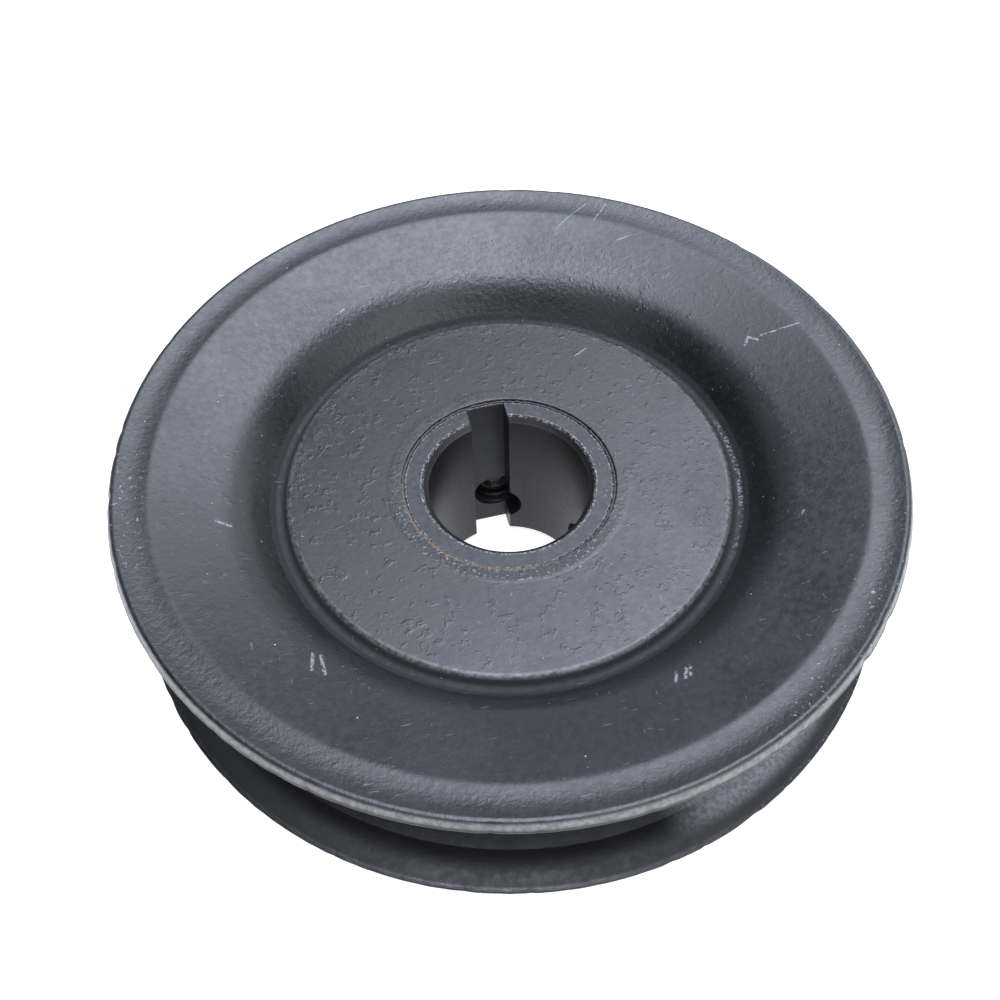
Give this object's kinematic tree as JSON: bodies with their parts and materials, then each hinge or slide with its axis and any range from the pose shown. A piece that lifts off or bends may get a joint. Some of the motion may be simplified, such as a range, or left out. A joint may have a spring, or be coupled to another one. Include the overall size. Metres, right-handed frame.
{
  "type": "v belt pulley",
  "caption": "Pressed-steel single-groove V-belt pulley with a dished front, keyed steel hub and set screws.",
  "frame": {"origin": "centre of the hub's rear face, on the bore axis, where the pulley stands with its dished front up", "axes": "+Z along the bore axis from the hub's rear face to the dished front; +Y through the middle of the keyway"},
  "size_m": [0.1198, 0.1198, 0.041],
  "materials": {
    "disc_paint": "satin black coat with a blue-grey cast and fine orange peel",
    "hub_paint": "thin satin black coat over turned steel",
    "braze_filler": "dull brown braze filler",
    "weld_paint": "painted weld bead",
    "screw_steel": "black oxide with worn edges"
  },
  "bodies": {
    "pulley": {"front_disc": "disc_paint", "rear_disc": "disc_paint", "hub": "hub_paint", "hub_braze": "braze_filler", "rear_weld": "weld_paint"},
    "key_set_screw": {"key_set_screw": "screw_steel"},
    "shaft_set_screw": {"shaft_set_screw": "screw_steel"}
  },
  "joints": [
    {"name": "key_set_screw_travel", "type": "slide", "parent": "pulley", "child": "key_set_screw", "axis": [0.0941, 0.9956, 0], "range_m": [-0.0029, 0.0015]},
    {"name": "shaft_set_screw_travel", "type": "slide", "parent": "pulley", "child": "shaft_set_screw", "axis": [0.9986, 0.0523, 0], "range_m": [-0.0017, 0.004]}
  ]
}
